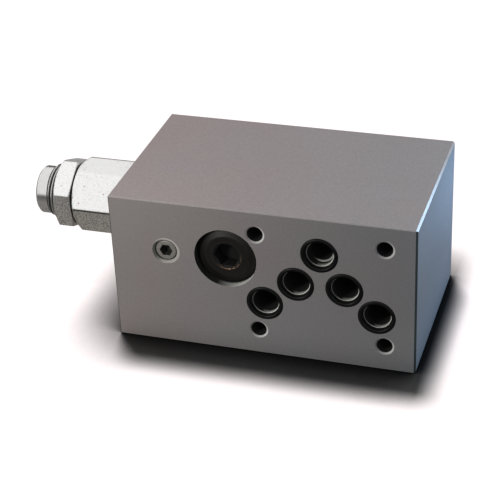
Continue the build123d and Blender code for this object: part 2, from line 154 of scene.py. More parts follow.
class Signal:
    """A number in a node tree, which adds Math nodes when it is used in an expression."""

    def __init__(self, nodes: "Nodes", socket: Socket) -> None:
        """Wrap an output socket of a tree."""
        self.nodes = nodes
        self.socket = socket

    __add__ = math_node("ADD", "This number plus another.")
    __radd__ = math_node("ADD", "Another number plus this one.", swapped=True)
    __sub__ = math_node("SUBTRACT", "This number less another.")
    __rsub__ = math_node("SUBTRACT", "Another number less this one.", swapped=True)
    __mul__ = math_node("MULTIPLY", "This number times another.")
    __rmul__ = math_node("MULTIPLY", "Another number times this one.", swapped=True)
    __truediv__ = math_node("DIVIDE", "This number divided by another.")
    __rtruediv__ = math_node("DIVIDE", "Another number divided by this one.", swapped=True)
    __pow__ = math_node("POWER", "This number raised to a power.")
    __lt__ = math_node("LESS_THAN", "One where this number is the smaller, and nought elsewhere.")
    __gt__ = math_node("GREATER_THAN", "One where this number is the larger, and nought elsewhere.")
    __or__ = math_node("MAXIMUM", "The larger of two numbers.")
    __and__ = math_node("MINIMUM", "The smaller of two numbers.")
    absolute = math_node("ABSOLUTE", "This number without its sign.")

    def between(self, low: float, high: float) -> "Signal":
        """Nought up to one bound, one past the other, and a straight ramp from one to the other."""
        values = {"Value": self, "From Min": low, "From Max": high}
        return Signal(self.nodes, self.nodes.node("ShaderNodeMapRange", None, values).outputs[0])

    def across(self, span: Span) -> "Signal":
        """The same ramp between two bounds in millimetres."""
        return self.between(*(MM * limit for limit in span))


Operand = Union[Signal, float]


class Nodes:
    """A node tree, with one method that adds any node."""

    def __init__(self, tree: bpy.types.NodeTree) -> None:
        """Empty a tree and keep it for the nodes to come."""
        self.tree = tree
        tree.nodes.clear()

    def node(
        self,
        kind: str,
        settings: Optional[Mapping[str, Any]] = None,
        values: Optional[Mapping[Union[str, int], Any]] = None,
    ) -> bpy.types.Node:
        """Add a node, set it up and feed it.

        Args:
            kind: Blender's name of the node type.
            settings: The node's own settings, or "stops" with a ramp's places and colours.
            values: What goes into each socket, by name or number: a value, a signal or a socket.

        Returns:
            The new node.
        """
        node = self.tree.nodes.new(kind)
        for name, setting in (settings or {}).items():
            if name == "stops":
                for element, (place, colour) in zip(node.color_ramp.elements, setting):
                    element.position = place
                    element.color = (*colour, 1.0)
            else:
                setattr(node, name, setting)
        for key, value in (values or {}).items():
            socket = node.inputs[key]
            source = value.socket if isinstance(value, Signal) else value
            if isinstance(source, Socket):
                self.tree.links.new(source, socket)
            elif socket.type == "RGBA" and len(value) == len(WHITE):
                socket.default_value = (*value, 1.0)
            else:
                socket.default_value = value
        return node


class Shader(Nodes):
    """A material, with the patterns that the finishes are made of."""

    def __init__(self, name: str) -> None:
        """Start an empty material of that name."""
        self.material = bpy.data.materials.new(name)
        self.material.use_nodes = True
        super().__init__(self.material.node_tree)

    @cached_property
    def coordinates(self) -> bpy.types.Node:
        """The node that gives an object's own coordinates and normal."""
        return self.node("ShaderNodeTexCoord")

    @cached_property
    def place(self) -> Socket:
        """The point being shaded, in the object's own frame."""
        return self.coordinates.outputs["Object"]

    def parts(self, vector: Socket) -> list[Signal]:
        """The X, Y and Z of a vector."""
        node = self.node("ShaderNodeSeparateXYZ", None, {0: vector})
        return [Signal(self, socket) for socket in node.outputs]

    @cached_property
    def xyz(self) -> list[Signal]:
        """The three coordinates of the point being shaded."""
        return self.parts(self.place)

    @cached_property
    def normal(self) -> list[Signal]:
        """The three parts of the surface's direction."""
        return self.parts(self.coordinates.outputs["Normal"])

    def vector(self, operation: str, first: Any, second: Any) -> bpy.types.Node:
        """Add one Vector Math node for two vectors, or for the sockets of vectors."""
        return self.node("ShaderNodeVectorMath", {"operation": operation}, {0: first, 1: second})

    def distance(self, along: Along, centre: Point) -> Signal:
        """The distance from an axis.

        Args:
            along: The direction of the axis.
            centre: A point on the axis, in metres.

        Returns:
            The distance in metres.
        """
        across = self.vector("MULTIPLY", self.place, along.value).outputs["Vector"]
        middle = tuple(c * share for c, share in zip(centre, along.value))
        return Signal(self, self.vector("DISTANCE", across, middle).outputs["Value"])

    def noise(self, size: float, detail: float = 2.0, place: Optional[Socket] = None) -> Signal:
        """Noise from 0 to 1, with features of a size in millimetres and some finer layers."""
        values = {"Vector": place or self.place, "Scale": 1 / (size * MM), "Detail": detail}
        return Signal(self, self.node("ShaderNodeTexNoise", None, values).outputs["Fac"])

    def specks(self, spacing: float, radius: float, share: float) -> Signal:
        """Small round specks.

        Args:
            spacing: The size of the cells that may hold a speck, in millimetres.
            radius: The radius of a speck in millimetres.
            share: The share of the cells that holds one.

        Returns:
            One in the middle of a speck, and nought outside it.
        """
        values = {"Vector": self.place, "Scale": 1 / (spacing * MM)}
        cells = self.node("ShaderNodeTexVoronoi", None, values)
        draw = self.node("ShaderNodeSeparateColor", None, {0: cells.outputs["Color"]})
        depth = 1 - Signal(self, cells.outputs["Distance"]) * (spacing / radius)
        return depth.between(0.0, FADE_SHARE) * (Signal(self, draw.outputs[0]) < share)

    def turned_marks(self, along: Along, centre: Point, size: float) -> Signal:
        """The marks of a lathe tool, which run round an axis.

        Args:
            along: The direction of the axis.
            centre: A point on the axis, in metres.
            size: The width of the marks in millimetres.

        Returns:
            Values from 0 to 1, mostly near 0.5.
        """
        length = self.xyz[0] if along is Along.X else self.xyz[1]
        values = {0: length, 1: self.distance(along, centre)}
        place = self.node("ShaderNodeCombineXYZ", None, values)
        return self.noise(size, PLAIN_DETAIL, place.outputs[0])

    def mix(self, share: Operand, first: Any, second: Any, blend: str = "MIX") -> Socket:
        """Mix two colours, or the sockets of two, by the share of the second."""
        settings = {"data_type": "RGBA", "blend_type": blend}
        return self.node("ShaderNodeMix", settings, {0: share, 6: first, 7: second}).outputs[2]

    def ramp(self, pattern: Signal, stops: Sequence[tuple[float, Colour]]) -> Socket:
        """Turn a pattern into colours by two stops, each with a place from 0 to 1 and a colour."""
        return self.node("ShaderNodeValToRGB", {"stops": stops}, {0: pattern}).outputs["Color"]

    def shade(self, colour: Any, level: Signal) -> Socket:
        """A colour, or the socket of one, with its parts multiplied by a level."""
        grey = self.node("ShaderNodeCombineColor", None, {0: level, 1: level, 2: level})
        return self.mix(1.0, colour, grey.outputs[0], "MULTIPLY")

    def bump(self, height: Signal, depth: float, rounding: float = 0.0) -> Socket:
        """Roughen the surface.

        Args:
            height: A pattern from 0 to 1.
            depth: The height of a one in millimetres.
            rounding: The radius that edges are rounded by first, or nought for sharp ones.

        Returns:
            The socket of the new normal.
        """
        values = {"Distance": depth * MM, "Height": height}
        if rounding:
            values["Normal"] = self.rounded(rounding)
        return self.node("ShaderNodeBump", None, values).outputs[0]

    def rounded(self, radius: float) -> Socket:
        """The normal of a surface whose edges are rounded by a radius in millimetres."""
        values = {"Radius": radius * MM}
        return self.node("ShaderNodeBevel", {"samples": BEVEL_SAMPLES}, values).outputs[0]

    def finish(
        self,
        colour: Socket,
        roughness: Operand,
        normal: Optional[Socket] = None,
        metallic: Operand = 0.0,
        specular: float = 0.5,
    ) -> Material:
        """Close the material with one principled surface.

        Args:
            colour: Its base colour.
            roughness: Its roughness.
            normal: Its normal, or None for the surface's own.
            metallic: How far it is metal.
            specular: How strongly it mirrors where it isn't metal.

        Returns:
            The material.
        """
        values = {
            "Base Color": colour,
            "Roughness": roughness,
            "Metallic": metallic,
            "Specular IOR Level": specular,
        }
        if normal is not None:
            values["Normal"] = normal
        surface = self.node("ShaderNodeBsdfPrincipled", None, values)
        self.node("ShaderNodeOutputMaterial", None, {"Surface": surface.outputs["BSDF"]})
        return self.material


@dataclass(frozen=True)
class Bore:
    """A round hole along Y, between two depths below the port face."""

    x: float
    z: float
    radius: float
    depth: float
    top: float = -1.0

    @property
    def centre(self) -> Point:
        """A point on the hole's axis, in metres."""
        return self.x * MM, 0.0, self.z * MM

    def mask(self, shader: Shader) -> Signal:
        """One on the hole's walls and floor, and nought outside the hole."""
        inside = shader.distance(Along.Y, self.centre) < self.radius * MM
        return inside * (shader.xyz[1] < self.depth * MM) * (shader.xyz[1] > self.top * MM)


def union(shader: Shader, bores: Sequence[Bore]) -> Signal:
    """One inside any of the bores, of which there is at least one."""
    return reduce(or_, [bore.mask(shader) for bore in bores])


@dataclass(frozen=True)
class PaintedLine:
    """A narrow line along X, where a finish is thin or worn on the edge between two faces."""

    place: Point
    radius: float
    strength: float

    def mask(self, shader: Shader) -> Signal:
        """Its strength in the middle of the line, and nought outside it."""
        near = 1 - shader.distance(Along.X, self.place) / (self.radius * MM)
        return near.between(0.0, FADE_SHARE) * self.strength


@dataclass(frozen=True)
class PhosphatedSteel:
    """Matte grey phosphate on the block, with bare metal at the mouths of its bores and its ends.

    The bores are bare on one side of their mouths and oily further in, and the dark holes are oily
    all over. The cones are bare on one side, and the rings all round but for a dark left side. The
    shelf is the part of the stepped port that holds its step. The edge line is rubbed bright.
    """

    bores: Sequence[Bore]
    dark_holes: Sequence[Bore]
    cones: Sequence[Bore]
    rings: Sequence[Bore]
    shelf: Bore
    highlight_line: PaintedLine
    colour: Colour = (0.182, 0.160, 0.158)
    cool_colour: Colour = (0.155, 0.160, 0.167)
    light_speck: Colour = (0.40, 0.40, 0.42)
    dark_speck: Colour = (0.06, 0.056, 0.052)
    metal: Colour = (0.66, 0.655, 0.64)
    ring: Colour = (0.33, 0.315, 0.30)
    ring_shade: Colour = (0.085, 0.09, 0.08)
    # painted shade with an oily film, in the bores and the dark holes
    shade_and_oil_colour: Colour = (0.006, 0.0062, 0.006)
    edge: Colour = (0.46, 0.46, 0.455)
    # painted dark reflection on the upright chamfers
    painted_dark_edge: Colour = (0.020, 0.026, 0.022)
    flat_normal: float = 0.93
    slanted_normal: float = 0.3
    lit_direction: Point = (-0.8, 0.35, 0.4)
    lit_span: Span = (0.1, 0.75)
    left_span: Span = (0.15, 0.6)
    step_depth: float = 6.0
    cone_share: float = 0.7
    line_share: float = 0.3
    shelf_lean: float = 0.8
    shelf_side: Span = (1.0, 5.0)
    shade_and_oil_span: Span = (1.5, 3.6)
    cool_span: Span = (-90.0, 45.0)
    cloud_span: Span = (0.38, 0.62)
    cloud_share: float = 0.3
    grain_size: float = 0.5
    grain_depth: float = 0.012
    cloud_size: float = 45.0
    mottle_size: float = 1.4
    tool_mark: float = 0.7
    tool_stretch: Point = (0.2, 1.0, 0.2)
    light_specks: Specks = (3.2, 0.16, 0.10)
    dark_specks: Specks = (3.9, 0.15, 0.08)

    def material(self) -> Material:
        """Make the material.

        Returns:
            The material of the block.
        """
        shader = Shader("phosphated_steel")
        grain = shader.noise(self.grain_size, FINE_DETAIL)
        holes = (self.bores, self.dark_holes, self.cones, self.rings)
        bore, shaded_hollows, cone, worn = (union(shader, group) for group in holes)
        x, y, z = (part.absolute() for part in shader.normal)
        slanted = ((x | y | z) < self.flat_normal) * (x > self.slanted_normal)
        chamfer = slanted * (1 - (bore | shaded_hollows | cone | worn))
        bright = chamfer * (z > self.slanted_normal)
        left, out, down = self.lit_direction
        # painted light: the walls that face up and to the left keep their bare metal, as if lit
        lit_side = (shader.normal[0] * left + y * out + shader.normal[2] * down).between(*self.lit_span)
        depth = shader.xyz[1]
        step = (y > self.slanted_normal) * (depth < self.step_depth * MM)
        # painted shade with an oily film: darker deeper in the bores, on their unlit side and in the dark
        # holes
        deep = depth.across(self.shade_and_oil_span) * (1 - step)
        shade_and_oil = bore * (deep | (1 - lit_side) * (1 - step * self.line_share)) | shaded_hollows
        # painted shade on the upper left of the stepped port's shelf
        right, _, up = (part - middle for part, middle in zip(shader.xyz, self.shelf.centre))
        shaded_side = 1 - (right * self.shelf_lean - up).across(self.shelf_side)
        shade_and_oil = shade_and_oil | self.shelf.mask(shader) * step * shaded_side

        # painted dark reflection on the upright chamfers at the ends; the top and bottom ones are bare
        # metal
        colour = shader.mix(chamfer, self.coat(shader, grain), self.painted_dark_edge)
        # painted highlight along the top front edge
        colour = shader.mix(bright | self.highlight_line.mask(shader), colour, self.edge)
        # painted highlight: the cones keep bare metal on their lit side alone
        colour = shader.mix(bore | cone * lit_side * self.cone_share, colour, self.machined(shader))
        in_shade = shader.normal[0].between(*self.left_span)
        ring = shader.mix(in_shade, shader.shade(self.ring, 0.8 + grain * 0.4), self.ring_shade)
        colour = shader.mix(worn, colour, ring)
        return shader.finish(
            shader.mix(shade_and_oil, colour, self.shade_and_oil_colour),
            0.60 + grain * 0.12 - bright * 0.3 + shade_and_oil * 0.2,
            shader.bump(grain, self.grain_depth),
            metallic=bright * 0.75,
            specular=0.3,
        )

    def coat(self, shader: Shader, grain: Signal) -> Socket:
        """The colour of the phosphate, cooler to the right, with fine light and dark specks.

        Args:
            shader: The material of the block.
            grain: Its fine grain.

        Returns:
            The socket of the colour.
        """
        cloud = shader.noise(self.cloud_size)
        along = shader.xyz[0].across(self.cool_span)
        cool = cloud.between(*self.cloud_span) * self.cloud_share + along * (1 - self.cloud_share)
        mottle = shader.noise(self.mottle_size) * 0.18
        coat = shader.mix(cool, self.colour, self.cool_colour)
        coat = shader.shade(coat, 0.52 + grain * 0.66 + mottle + cloud * 0.12)
        coat = shader.mix(shader.specks(*self.light_specks) * 0.4, coat, self.light_speck)
        return shader.mix(shader.specks(*self.dark_specks) * 0.5, coat, self.dark_speck)

    def machined(self, shader: Shader) -> Socket:
        """The colour of the bored walls, with faint tool marks along their depth."""
        place = shader.vector("MULTIPLY", shader.place, self.tool_stretch).outputs[0]
        return shader.shade(self.metal, 0.82 + shader.noise(self.tool_mark, place=place) * 0.36)


@dataclass(frozen=True)
class ZincPlate:
    """Clear zinc plate over drawn steel, grainy, with specks of rust and dull along some edges."""

    reflection_lines: Sequence[PaintedLine]
    colour: Colour = (0.93, 0.925, 0.915)
    fleck: Colour = (0.76, 0.755, 0.745)
    under: Colour = (0.98, 0.98, 0.93)
    # the dark end of the underside's grain, painted shade
    underside_dark: Colour = (0.38, 0.38, 0.355)
    rust: Colour = (0.62, 0.34, 0.14)
    # painted dark reflection
    dark_reflection: Colour = (0.05, 0.052, 0.048)
    fleck_span: Span = (0.34, 0.50)
    underside_grain_span: Span = (0.40, 0.58)
    under_span: Span = (0.1, -0.2)
    spangle_size: float = 0.5
    grain_size: float = 0.55
    grain_detail: float = 4.0
    grain_depth: float = 0.05
    rust_specks: Specks = (2.2, 0.42, 0.5)
    rust_patch: float = 8.0
    rust_bound: float = 0.46
    edge_round: float = 1.2

    def material(self) -> Material:
        """Make the material.

        Returns:
            The material of the cartridge's hexagon and locknut.
        """
        shader = Shader("zinc_plated_steel")
        grain = shader.noise(self.grain_size, self.grain_detail)
        spangle = shader.noise(self.spangle_size, FINE_DETAIL)
        above = shader.ramp(spangle, list(zip(self.fleck_span, (self.fleck, self.colour))))
        # painted shade with grain: the facets that face down get a darker, grainier colour
        below = shader.ramp(spangle, list(zip(self.underside_grain_span, (self.underside_dark, self.under))))
        colour = shader.mix(shader.normal[2].between(*self.under_span), above, below)
        # painted dark reflection lines along some of the hexagon's edges
        for line in self.reflection_lines:
            colour = shader.mix(line.mask(shader), colour, self.dark_reflection)
        patches = shader.noise(self.rust_patch, PLAIN_DETAIL) > self.rust_bound
        rust = shader.specks(*self.rust_specks) * patches
        return shader.finish(
            shader.mix(rust * 0.75, colour, self.rust),
            0.28 + grain * 0.22,
            shader.bump(grain, self.grain_depth, self.edge_round),
            metallic=1 - rust * 0.6,
        )


@dataclass(frozen=True)
class BlackOxide:
    """Oiled black oxide on turned steel, worn to copper on one side of its key socket's mouth."""

    socket: Bore
    colour: Colour = (0.0075, 0.0072, 0.0066)
    ring_colour: Colour = (0.020, 0.018, 0.016)
    # painted shade inside the key socket
    inside: Colour = (0.003, 0.003, 0.003)
    # worn copper, placed as a painted glint
    worn: Colour = (0.85, 0.50, 0.27)
    worn_band: Span = (-0.9, 0.3)
    worn_depth: float = 0.6
    glint_lean: float = 0.6
    glint_span: Span = (0.25, 0.9)
    worn_patch: float = 1.6
    patch_span: Span = (0.30, 0.45)
    edge_radius: float = 0.3
    edge_turn: float = 0.12
    edge_round: float = 0.15
    mark_size: float = 0.35
    mark_span: Span = (0.5, 0.8)
    mark_depth: float = 0.02
    cloud_size: float = 0.6

    def worn_glint_edge(self, shader: Shader) -> Signal:
        """Find where the finish is worn.

        Args:
            shader: The material of the plug.

        Returns:
            One on the worn part of the socket's edge, and nought elsewhere.
        """
        centre, mouth = self.socket.centre, self.socket.radius * MM
        away = shader.distance(Along.Y, centre)
        inner, outer = (mouth + limit * MM for limit in self.worn_band)
        x, y, z = shader.xyz
        # painted glint: the wear is kept to the lower right of the mouth, where light catches it
        side = (x - centre[0]) * self.glint_lean - (z - centre[2])
        glint_side = side.between(*(mouth * share for share in self.glint_span))
        shallow = y < (self.socket.top + self.worn_depth) * MM
        straight = shader.node("ShaderNodeNewGeometry").outputs["Normal"]
        turn = shader.vector("DOT_PRODUCT", shader.rounded(self.edge_radius), straight)
        edge = (1 - Signal(shader, turn.outputs["Value"])).between(0.0, self.edge_turn)
        patches = shader.noise(self.worn_patch).between(*self.patch_span)
        return edge * (away > inner) * (away < outer) * glint_side * shallow * patches

    def material(self) -> Material:
        """Make the material.

        Returns:
            The material of the gallery plug.
        """
        shader = Shader("black_oxide_steel")
        marks = shader.turned_marks(Along.Y, self.socket.centre, self.mark_size)
        worn = self.worn_glint_edge(shader)
        colour = shader.mix(marks.between(*self.mark_span), self.colour, self.ring_colour)
        colour = shader.shade(colour, 0.7 + shader.noise(self.cloud_size) * 0.6)
        # painted shade: the key socket is darkened inside
        inside = self.socket.mask(shader) * (1 - worn)
        colour = shader.mix(inside, colour, self.inside)
        return shader.finish(
            shader.mix(worn, colour, self.worn),
            0.40 + marks * 0.14 - worn * 0.1 + inside * 0.3,
            shader.bump(marks, self.mark_depth, self.edge_round),
            metallic=(0.35 + worn * 0.5) * (1 - inside),
            specular=0.25,
        )


@dataclass(frozen=True)
class TurnedSteel:
    """Steel with the fine rings of a lathe or grinding wheel round its axis."""

    name: str
    colour: Colour
    roughness: float
    along: Along
    centre: Point
    marks: float = 0.3
    depth: float = 0.012
    metallic: float = 0.95
    # painted shade with grime
    shade_and_grime: Colour = (0.02, 0.02, 0.019)
    stain_size: float = 2.4
    edge_round: float = 0.12

    def material(self, find_shade_and_oil: Optional[Callable[[Shader], Signal]] = None) -> Material:
        """Make the material, with its marks round the axis that it was turned on.

        Args:
            dirty: Gives one where old oil has settled, or None for clean steel.

        Returns:
            The material of one piece or of several on the same axis.
        """
        shader = Shader(self.name)
        marks = shader.turned_marks(self.along, self.centre, self.marks)
        stain = shader.noise(self.stain_size, FINE_DETAIL)
        # painted shade with an oily film, where find_shade_and_oil gives it
        shade_and_oil = find_shade_and_oil(shader) if find_shade_and_oil else stain * 0.0
        colour = shader.shade(self.colour, 0.78 + marks * 0.24 + stain * 0.2)
        return shader.finish(
            shader.mix(shade_and_oil, colour, self.shade_and_grime),
            self.roughness - 0.08 + stain * 0.16 + shade_and_oil * 0.3,
            shader.bump(marks, self.depth, self.edge_round),
            metallic=self.metallic * (1 - shade_and_oil),
        )


@dataclass(frozen=True)
class SpringSteel:
    """Oil-tempered spring wire, dark and slightly blue, with straw patches."""

    colour: Colour = (0.16, 0.16, 0.18)
    straw: Colour = (0.26, 0.21, 0.15)
    patch_size: float = 3.5
    patch_span: Span = (0.45, 0.7)
    grain_size: float = 0.25
    grain_depth: float = 0.006
    edge_round: float = 0.15

    def material(self) -> Material:
        """Make the material.

        Returns:
            The material of the relief spring.
        """
        shader = Shader("spring_steel")
        patches = shader.noise(self.patch_size, FINE_DETAIL).between(*self.patch_span)
        grain = shader.noise(self.grain_size)
        return shader.finish(
            shader.mix(patches, self.colour, self.straw),
            0.30 + grain * 0.2,
            shader.bump(grain, self.grain_depth, self.edge_round),
            metallic=0.9,
        )


@dataclass(frozen=True)
class SealRubber:
    """Matte nitrile rubber with a little oil on it."""

    colour: Colour = (0.003, 0.0033, 0.0032)
    bloom_size: float = 2.2
    grain_size: float = 0.2
    grain_depth: float = 0.006

    def material(self) -> Material:
        """Make the material.

        Returns:
            The material of every O-ring and flat seal.
        """
        shader = Shader("seal_rubber")
        bloom = shader.noise(self.bloom_size, FINE_DETAIL)
        colour = shader.shade(self.colour, 0.6 + bloom * 0.8)
        grain = shader.bump(shader.noise(self.grain_size), self.grain_depth)
        return shader.finish(colour, 0.34 + bloom * 0.16, grain, specular=0.1)


@dataclass(frozen=True)
class BackupPlastic:
    """Filled white plastic with a faint fleck."""

    colour: Colour = (0.72, 0.71, 0.66)
    fleck_size: float = 0.4
    fleck_depth: float = 0.006

    def material(self) -> Material:
        """Make the material.

        Returns:
            The material of the backup rings.
        """
        shader = Shader("backup_plastic")
        fleck = shader.noise(self.fleck_size)
        colour = shader.shade(self.colour, 0.85 + fleck * 0.25)
        return shader.finish(colour, 0.42 + fleck * 0.15, shader.bump(fleck, self.fleck_depth))


def centre_of(node: str) -> Point:
    """The middle of a node's box, in metres."""
    low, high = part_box(node)
    return tuple((low + high) / 2)


def dress(material: Material, *nodes: str) -> None:
    """Give nodes of the packed model a finish.

    Args:
        material: The finish.
        nodes: The names of the nodes.
    """
    for node in nodes:
        for place in frame["nodes"][node].material_slots:
            place.material = material
        LOG.info("dressed %s in %s", node, material.name)


def placed(name: str, data: bpy.types.ID) -> Piece:
    """Make an object of a mesh, a lamp or a camera.

    Args:
        name: The name of the object.
        data: What it shows.

    Returns:
        The object, linked to the scene.
    """
    piece = bpy.data.objects.new(name, data)
    bpy.context.scene.collection.objects.link(piece)
    LOG.info("placed %s", name)
    return piece


def welded_copy(node: str) -> bmesh.types.BMesh:
    """Copy a packed node's mesh and join its loose triangles.

    Args:
        node: The node's name.

    Returns:
        The copy.
    """
    made = bmesh.new()
    made.from_mesh(frame["nodes"][node].data)
    bmesh.ops.remove_doubles(made, verts=made.verts, dist=WELD * MM)
    return made


def finished_mesh(mesh: bpy.types.Mesh, material: Material) -> bpy.types.Mesh:
    """Give the whole of a mesh one finish, and shade it smooth apart from its sharp edges.

    Args:
        mesh: The mesh.
        material: The finish.

    Returns:
        The same mesh.
    """
    mesh.materials.clear()
    mesh.materials.append(material)
    mesh.polygons.foreach_set("material_index", [0] * len(mesh.polygons))
    mesh.shade_smooth()
    mesh.set_sharp_from_angle(angle=radians(SMOOTH_ANGLE))
    return mesh


def new_piece(name: str, made: bmesh.types.BMesh, material: Material) -> Piece:
    """Make an object of a mesh that is being edited.

    Args:
        name: The name of the object.
        made: The mesh, which is freed.
        material: Its finish.

    Returns:
        The object, linked to the scene.
    """
    mesh = bpy.data.meshes.new(name)
    made.to_mesh(mesh)
    made.free()
    own_normals = mesh.attributes.get("custom_normal")
    if own_normals:
        mesh.attributes.remove(own_normals)
    return placed(name, finished_mesh(mesh, material))


def round_edges(body: Piece, width: float) -> None:
    """Give a body a live bevel on its sharp edges.

    Args:
        body: The body.
        width: The width of the bevel in millimetres.
    """
    bevel = body.modifiers.new("rounds", "BEVEL")
    bevel.width = width * MM
    bevel.segments = 2
    bevel.limit_method = "ANGLE"
    bevel.angle_limit = radians(SHARP_ANGLE)


def settle(body: Piece, material: Material) -> None:
    """Turn a body and its modifiers into one plain mesh.

    Args:
        body: The body.
        material: The finish of the whole of it.
    """
    graph = bpy.context.evaluated_depsgraph_get()
    mesh = bpy.data.meshes.new_from_object(body.evaluated_get(graph), depsgraph=graph)
    body.modifiers.clear()
    body.data = finished_mesh(mesh, material)
    LOG.info("finished %s, %d faces", body.name, len(mesh.polygons))


def hexagon(apothem: float, angle: float) -> float:
    """The distance from a hexagon's middle to its outline, at an angle from one of its corners."""
    third = pi / 3
    return apothem / cos(angle % third - third / 2)


def plain_ring(x: float, radius: float) -> Ring:
    """A round ring of a turned mesh, at a place along the axis."""
    return lambda angle: (x, radius)


def turned_body(
    name: str,
    rings: Sequence[Ring],
    axis: Point,
    material: Material,
    poles: Sequence[float] = (),
    turn: float = 0.0,
) -> Piece:
    """Build a closed body of rings round an axis along X.

    Args:
        name: The name of the object.
        rings: The rings in order, each giving a place along the axis and a radius.
        axis: A point on the axis, in metres.
        material: The finish of the body.
        poles: The places on the axis that close the first and the last ring, or none for a body
            with a hole through it, whose last ring meets its first.
        turn: The direction of the rings' first point, in radians.

    Returns:
        The object, linked to the scene.
    """
    made = bmesh.new()

    def vertex(x: float, radius: float, angle: float) -> bmesh.types.BMVert:
        """A point of the body, from its place, its distance from the axis and its direction."""
        y, z = (c + radius * MM * part(angle + turn) for c, part in zip(axis[1:], (cos, sin)))
        return made.verts.new((x * MM, y, z))

    angles = [tau * k / RING_POINTS for k in range(RING_POINTS)]
    loops = [[vertex(*ring(angle), angle) for angle in angles] for ring in rings]
    ends = [vertex(x, 0.0, 0.0) for x in poles]
    bands = list(zip(loops, loops[1:] if ends else [*loops[1:], loops[0]]))
    for k in range(RING_POINTS):
        after = (k + 1) % RING_POINTS
        for near, far in bands:
            made.faces.new((near[k], far[k], far[after], near[after]))
        for end, loop in zip(ends, (loops[0], loops[-1])):
            made.faces.new((end, loop[k], loop[after]))
    bmesh.ops.recalc_face_normals(made, faces=made.faces)
    return new_piece(name, made, material)


@dataclass
class ValveBlock:
    """The drilled block and the two plugs in its port face."""

    ports: tuple[str, ...] = ("p", "a", "b", "t", "tb")
    port_bore_radius: float = 5.6
    port_mouth: float = 0.30
    seal_recess_depth: float = 1.42
    bolt_mouth_step: float = 0.8
    bolt_cone_depth: float = 0.46
    plug_recess_clearance: float = 0.3
    plug_socket_radius: float = 6.2
    plug_setback: float = 2.0
    gauge_socket_radius: float = 2.95
    gauge_setback: float = 0.9
    gauge_mouth: float = 0.95
    gauge_rub: Span = (0.35, 0.2)
    gauge_rub_depth: float = 0.2
    gauge_rim: float = 0.45
    gauge_turn: float = 30.0
    gauge_colour: Colour = (0.215, 0.205, 0.192)
    gauge_roughness: float = 0.42
    gauge_metal: float = 0.4
    shelf_span: Span = (2.0, 6.0)
    edge_radius: float = 0.7
    edge_strength: float = 0.13
    skin: float = 0.04

    @staticmethod
    def hole(node: str, margin: float = 0.0, **sizes: float) -> Bore:
        """Find the hole round a node of the packed model.

        Args:
            node: The node's name.
            margin: How far the hole reaches past the node.
            sizes: The sizes of the hole that aren't the node's own.

        Returns:
            The hole, down to the node's inner end.
        """
        low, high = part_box(node)
        x, _, z = (low + high) / 2 / MM
        return replace(Bore(x, z, (high.x - low.x) / 2 / MM + margin, high.y / MM), **sizes)

    @staticmethod
    def bolt_holes(margin: float, depth: float, top: float = -1.0) -> list[Bore]:
        """The four bolt holes, or a part of each.

        Args:
            margin: How far the part reaches past the hole's wall.
            depth: How deep it ends.
            top: How deep it starts.

        Returns:
            The parts of the holes.
        """
        pattern = next(m for m in frame["record"]["mounts"] if m["kind"] == "bolt_pattern")["dims"]
        x, z = pattern["spacing_x_mm"] / 2, pattern["spacing_y_mm"] / 2
        radius = pattern["hole_r_mm"] + margin
        return [Bore(i * x, k * z, radius, depth, top) for i in (-1, 1) for k in (-1, 1)]

    def steel(self) -> PhosphatedSteel:
        """Gather the places where the block's finish changes.

        Returns:
            The finish of the block.
        """
        cone_end = self.bolt_cone_depth - self.skin
        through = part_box("valve_block")[1].y / MM + self.skin
        walls = self.bolt_holes(self.skin, through, cone_end)
        cones = self.bolt_holes(self.bolt_mouth_step + self.skin, cone_end)
        recess = {"margin": 2 * self.skin, "depth": self.seal_recess_depth}
        seats = [self.hole(f"{port}_port_seal", **recess) for port in self.ports]
        mouth = self.port_bore_radius + self.port_mouth
        bores = [replace(seat, radius=mouth, depth=through) for seat in seats]
        bores.append(self.hole("gallery_plug", self.plug_recess_clearance + self.skin))
        gauge = self.hole("gauge_plug", self.gauge_mouth)
        aside, wider = self.gauge_rub
        rub = Bore(gauge.x + aside, gauge.z + aside, gauge.radius + wider, self.gauge_rub_depth)
        top, end = self.shelf_span
        shelf = replace(seats[0], radius=self.port_bore_radius, depth=end, top=top)
        # a painted highlight along the block's top front edge
        line = PaintedLine((0.0, 0.0, CAD_BOX[1].z), self.edge_radius, self.edge_strength)
        return PhosphatedSteel(bores, [*seats, *walls], cones, [gauge, rub], shelf, line)

    def dress(self) -> None:
        """Give the block and its plugs their finishes."""
        dress(self.steel().material(), "valve_block")
        face = self.plug_setback + 2 * self.skin
        socket = self.hole("gallery_plug", radius=self.plug_socket_radius, top=face)
        dress(BlackOxide(socket).material(), "gallery_plug")

    def build_gauge_plug(self) -> None:
        """Screw a copy of the gauge plug round until its key socket stands as in the photo."""
        face = self.gauge_setback + 2 * self.skin
        socket = self.hole("gauge_plug", radius=self.gauge_socket_radius, top=face)
        crown = self.hole("gauge_plug", -self.gauge_rim)
        centre = centre_of("gauge_plug")

        def shade_and_oil(shader: Shader) -> Signal:
            """One in the plug's socket and round its rim."""
            return socket.mask(shader) | (1 - crown.mask(shader))

        steel = TurnedSteel(
            "gauge_plug_steel",
            self.gauge_colour,
            self.gauge_roughness,
            Along.Y,
            centre,
            metallic=self.gauge_metal,
        )
        made = welded_copy("gauge_plug")
        turn = Matrix.Rotation(radians(self.gauge_turn), 3, "Y")
        bmesh.ops.rotate(made, cent=centre, matrix=turn, verts=made.verts)
        plug = new_piece("turned_gauge_plug", made, steel.material(shade_and_oil))
        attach(plug, "valve")
        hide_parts("gauge_plug")


